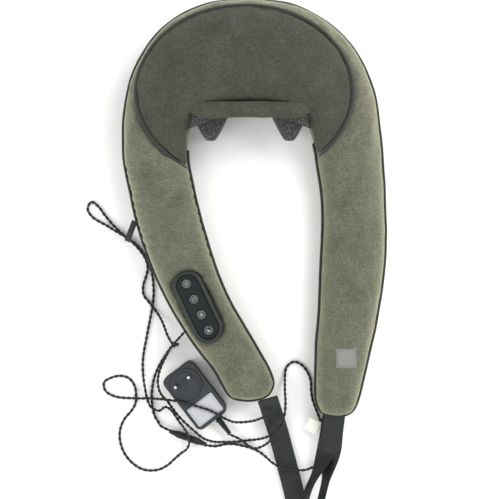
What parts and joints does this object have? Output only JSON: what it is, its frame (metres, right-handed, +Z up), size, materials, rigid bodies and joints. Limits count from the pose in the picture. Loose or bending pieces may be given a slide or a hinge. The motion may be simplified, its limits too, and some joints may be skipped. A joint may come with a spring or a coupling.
{
  "type": "shiatsu neck massager",
  "caption": "U-shaped padded neck massager with turning kneading heads in the neck part, a button panel on one arm, hand loops and a plug-in power adapter.",
  "frame": {"origin": "on the resting plane, under the middle of the neck part", "axes": "+Z up out of the outer face, +Y from the arms towards the back of the neck part, +X towards the right arm as seen from above"},
  "size_m": [0.3656, 0.6194, 0.11],
  "materials": {
    "cover": "short-pile suedette, matt, with a light nap",
    "neck_panel": "short-pile suedette, matt, a shade darker",
    "piping": "woven cord piping, matt",
    "net": "open polyester net",
    "strap": "smooth coated leatherette with stitched edges",
    "patch": "woven patch, blank",
    "tab": "woven tape",
    "care_label": "printed satin tape, blank",
    "panel_plastic": "fine satin",
    "fascia": "glossy black",
    "button": "satin with pale printed marks",
    "board": "solder-resist green",
    "housing": "moulded, fine texture",
    "steel": "turned steel",
    "brass": "sintered bronze",
    "nylon": "natural nylon",
    "node": "soft-touch coating",
    "lead": "satin flexible sheath",
    "connector": "satin",
    "adapter_case": "fine spark texture",
    "pin": "nickel plate",
    "adapter_label": "blank satin label"
  },
  "bodies": {
    "massager": {"neck_cover": "cover", "left_arm_cushion": "cover", "right_arm_cushion": "cover", "crescent_pad": "neck_panel", "edge_piping": "piping", "crescent_piping": "piping", "mesh_panel": "net", "left_hand_loop": "strap", "right_hand_loop": "strap", "woven_patch": "patch", "side_tab": "tab", "care_label": "care_label", "control_bezel": "panel_plastic", "control_fascia": "fascia", "control_tray": "panel_plastic", "control_board": "board", "gearbox_rear_shell": "housing", "gearbox_front_plate": "housing", "motor_can": "steel", "motor_end_cap": "housing", "wiring_harness": "lead", "pigtail_lead": "lead", "inline_socket": "connector", "gearbox_screw_1": "steel", "gearbox_screw_2": "steel", "gearbox_screw_3": "steel", "gearbox_screw_4": "steel", "left_output_bush": "brass", "left_worm_bush": "brass", "right_output_bush": "brass", "right_worm_bush": "brass"},
    "left_head": {"left_worm_wheel": "nylon", "left_output_shaft": "steel", "left_carrier": "nylon", "left_upper_node": "node", "left_lower_node": "node", "left_mesh_sock": "net"},
    "right_head": {"right_worm_wheel": "nylon", "right_output_shaft": "steel", "right_carrier": "nylon", "right_upper_node": "node", "right_lower_node": "node", "right_mesh_sock": "net"},
    "motor_shaft": {"worm_shaft": "steel", "motor_rotor": "steel"},
    "adapter_side": {"inline_plug": "connector", "adapter_lead": "lead", "adapter_lower_case": "adapter_case", "adapter_upper_case": "adapter_case", "plug_insert": "adapter_case", "left_plug_pin": "pin", "right_plug_pin": "pin", "adapter_label": "adapter_label", "adapter_strain_relief": "connector"},
    "power_key": {"power_button": "button"},
    "direction_key": {"direction_button": "button"},
    "heat_key": {"heat_button": "button"},
    "speed_key": {"speed_button": "button"}
  },
  "joints": [
    {"name": "left_head_turn", "type": "hinge", "parent": "massager", "child": "left_head", "pos_m": [-0.046, -0.035, 0.0535], "axis": [0, -0.9659, -0.2588], "continuous": true},
    {"name": "right_head_turn", "type": "hinge", "parent": "massager", "child": "right_head", "pos_m": [0.046, -0.035, 0.0535], "axis": [0, -0.9659, -0.2588], "continuous": true},
    {"name": "motor_turn", "type": "hinge", "parent": "massager", "child": "motor_shaft", "pos_m": [0, -0.02765, 0.02607], "axis": [1, 0, 0], "continuous": true},
    {"name": "plug_slide", "type": "slide", "parent": "massager", "child": "adapter_side", "axis": [0.9282, -0.3721, 0], "range_m": [0, 0.005]},
    {"name": "power_press", "type": "slide", "parent": "massager", "child": "power_key", "axis": [0, 0, -1], "range_m": [0, 0.0008], "stiffness_N_per_m": 800},
    {"name": "direction_press", "type": "slide", "parent": "massager", "child": "direction_key", "axis": [0, 0, -1], "range_m": [0, 0.0008], "stiffness_N_per_m": 800},
    {"name": "heat_press", "type": "slide", "parent": "massager", "child": "heat_key", "axis": [0, 0, -1], "range_m": [0, 0.0008], "stiffness_N_per_m": 800},
    {"name": "speed_press", "type": "slide", "parent": "massager", "child": "speed_key", "axis": [0, 0, -1], "range_m": [0, 0.0008], "stiffness_N_per_m": 800}
  ],
  "couplings": [
    {"joint": "right_head_turn", "follows": "left_head_turn", "ratio": -1},
    {"joint": "motor_turn", "follows": "left_head_turn", "ratio": -28}
  ]
}
